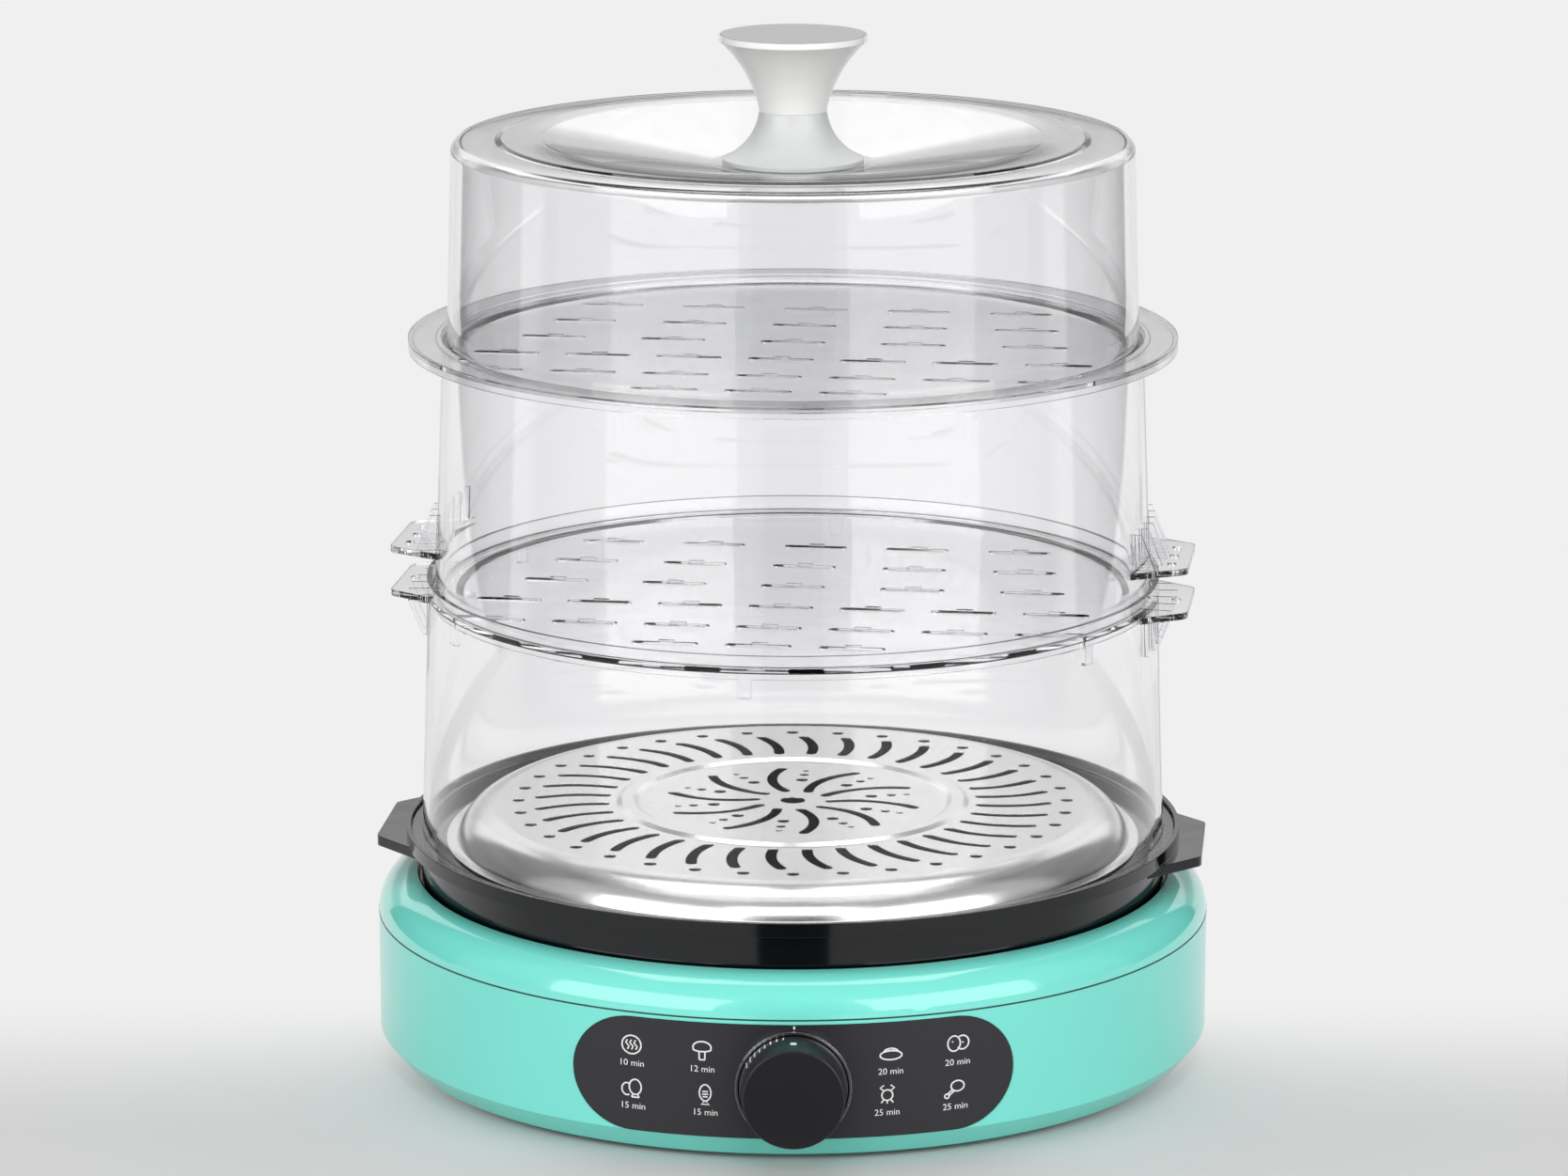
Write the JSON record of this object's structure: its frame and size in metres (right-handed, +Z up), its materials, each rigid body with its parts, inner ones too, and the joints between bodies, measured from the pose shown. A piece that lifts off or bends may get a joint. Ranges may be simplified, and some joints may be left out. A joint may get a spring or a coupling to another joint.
{
  "type": "electric food steamer",
  "caption": "Round electric steamer with a timer knob, water pan, perforated steam plate, stacked clear tiers with racks, and a domed clear lid.",
  "frame": {"origin": "on the vertical axis of the round base, at the level that its feet stand on", "axes": "+Z up along the axis of the stack, -Y towards the front with the timer knob, +X to the right as seen from the front"},
  "size_m": [0.32, 0.3389, 0.393],
  "materials": {
    "mint_shell": "glossy mint plastic",
    "dark_plate": "plain dark plastic of the underside",
    "screw_steel": "plated steel screws",
    "foot_rubber": "dark rubber",
    "panel_black": "dark panel with light print",
    "ring_chrome": "polished ring",
    "timer_grey": "grey moulded timer case",
    "knob_black": "dark satin plastic",
    "cast_heater": "cast, machined on top",
    "heater_tube": "dark sheathed tube",
    "sensor_metal": "small pressed cases",
    "shield_sheet": "bright rolled sheet",
    "ceramic_white": "white terminal block",
    "bush_black": "dark moulded bush",
    "pan_black": "dark glossy coating",
    "plate_steel": "satin stainless sheet, brushed round",
    "clear_plastic": "clear moulded plastic",
    "grip_white": "white plastic",
    "grip_frosted": "frosted white plastic",
    "cap_grey": "grey inlaid disc",
    "washer_rubber": "pale silicone"
  },
  "bodies": {
    "base": {"base_housing": "mint_shell", "top_cover": "mint_shell", "bottom_plate": "dark_plate", "base_screws": "screw_steel", "rubber_feet": "foot_rubber", "control_panel": "panel_black", "knob_bezel": "ring_chrome", "timer_body": "timer_grey", "timer_nut": "screw_steel", "hot_plate": "cast_heater", "heating_element": "heater_tube", "thermostat": "sensor_metal", "thermal_fuse": "sensor_metal", "fuse_strap": "shield_sheet", "heat_shield": "shield_sheet", "terminal_block": "ceramic_white", "inlet_bush": "bush_black"},
    "knob": {"timer_knob": "knob_black", "timer_shaft": "screw_steel"},
    "pan": {"water_pan": "pan_black"},
    "plate": {"steam_plate": "plate_steel"},
    "lower_tier": {"lower_ring": "clear_plastic"},
    "lower_rack": {"lower_tray": "clear_plastic"},
    "middle_tier": {"middle_ring": "clear_plastic"},
    "upper_rack": {"upper_tray": "clear_plastic"},
    "cover": {"clear_cover": "clear_plastic", "grip_foot": "grip_frosted", "grip_knob": "grip_white", "grip_cap": "cap_grey", "grip_washer": "washer_rubber", "grip_screw": "screw_steel"}
  },
  "joints": [
    {"name": "timer_turn", "type": "hinge", "parent": "base", "child": "knob", "pos_m": [0, -0.1604, 0.0305], "axis": [0, 1, 0], "range_deg": [0, 300]},
    {"name": "pan_lift", "type": "slide", "parent": "base", "child": "pan", "axis": [0, 0, 1], "range_m": [0, 0.06]},
    {"name": "plate_lift", "type": "slide", "parent": "pan", "child": "plate", "axis": [0, 0, 1], "range_m": [0, 0.06]},
    {"name": "lower_tier_lift", "type": "slide", "parent": "pan", "child": "lower_tier", "axis": [0, 0, 1], "range_m": [0, 0.06]},
    {"name": "lower_rack_lift", "type": "slide", "parent": "lower_tier", "child": "lower_rack", "axis": [0, 0, 1], "range_m": [0, 0.04]},
    {"name": "middle_tier_lift", "type": "slide", "parent": "lower_rack", "child": "middle_tier", "axis": [0, 0, 1], "range_m": [0, 0.04]},
    {"name": "upper_rack_lift", "type": "slide", "parent": "middle_tier", "child": "upper_rack", "axis": [0, 0, 1], "range_m": [0, 0.04]},
    {"name": "cover_lift", "type": "slide", "parent": "upper_rack", "child": "cover", "axis": [0, 0, 1], "range_m": [0, 0.1]}
  ]
}
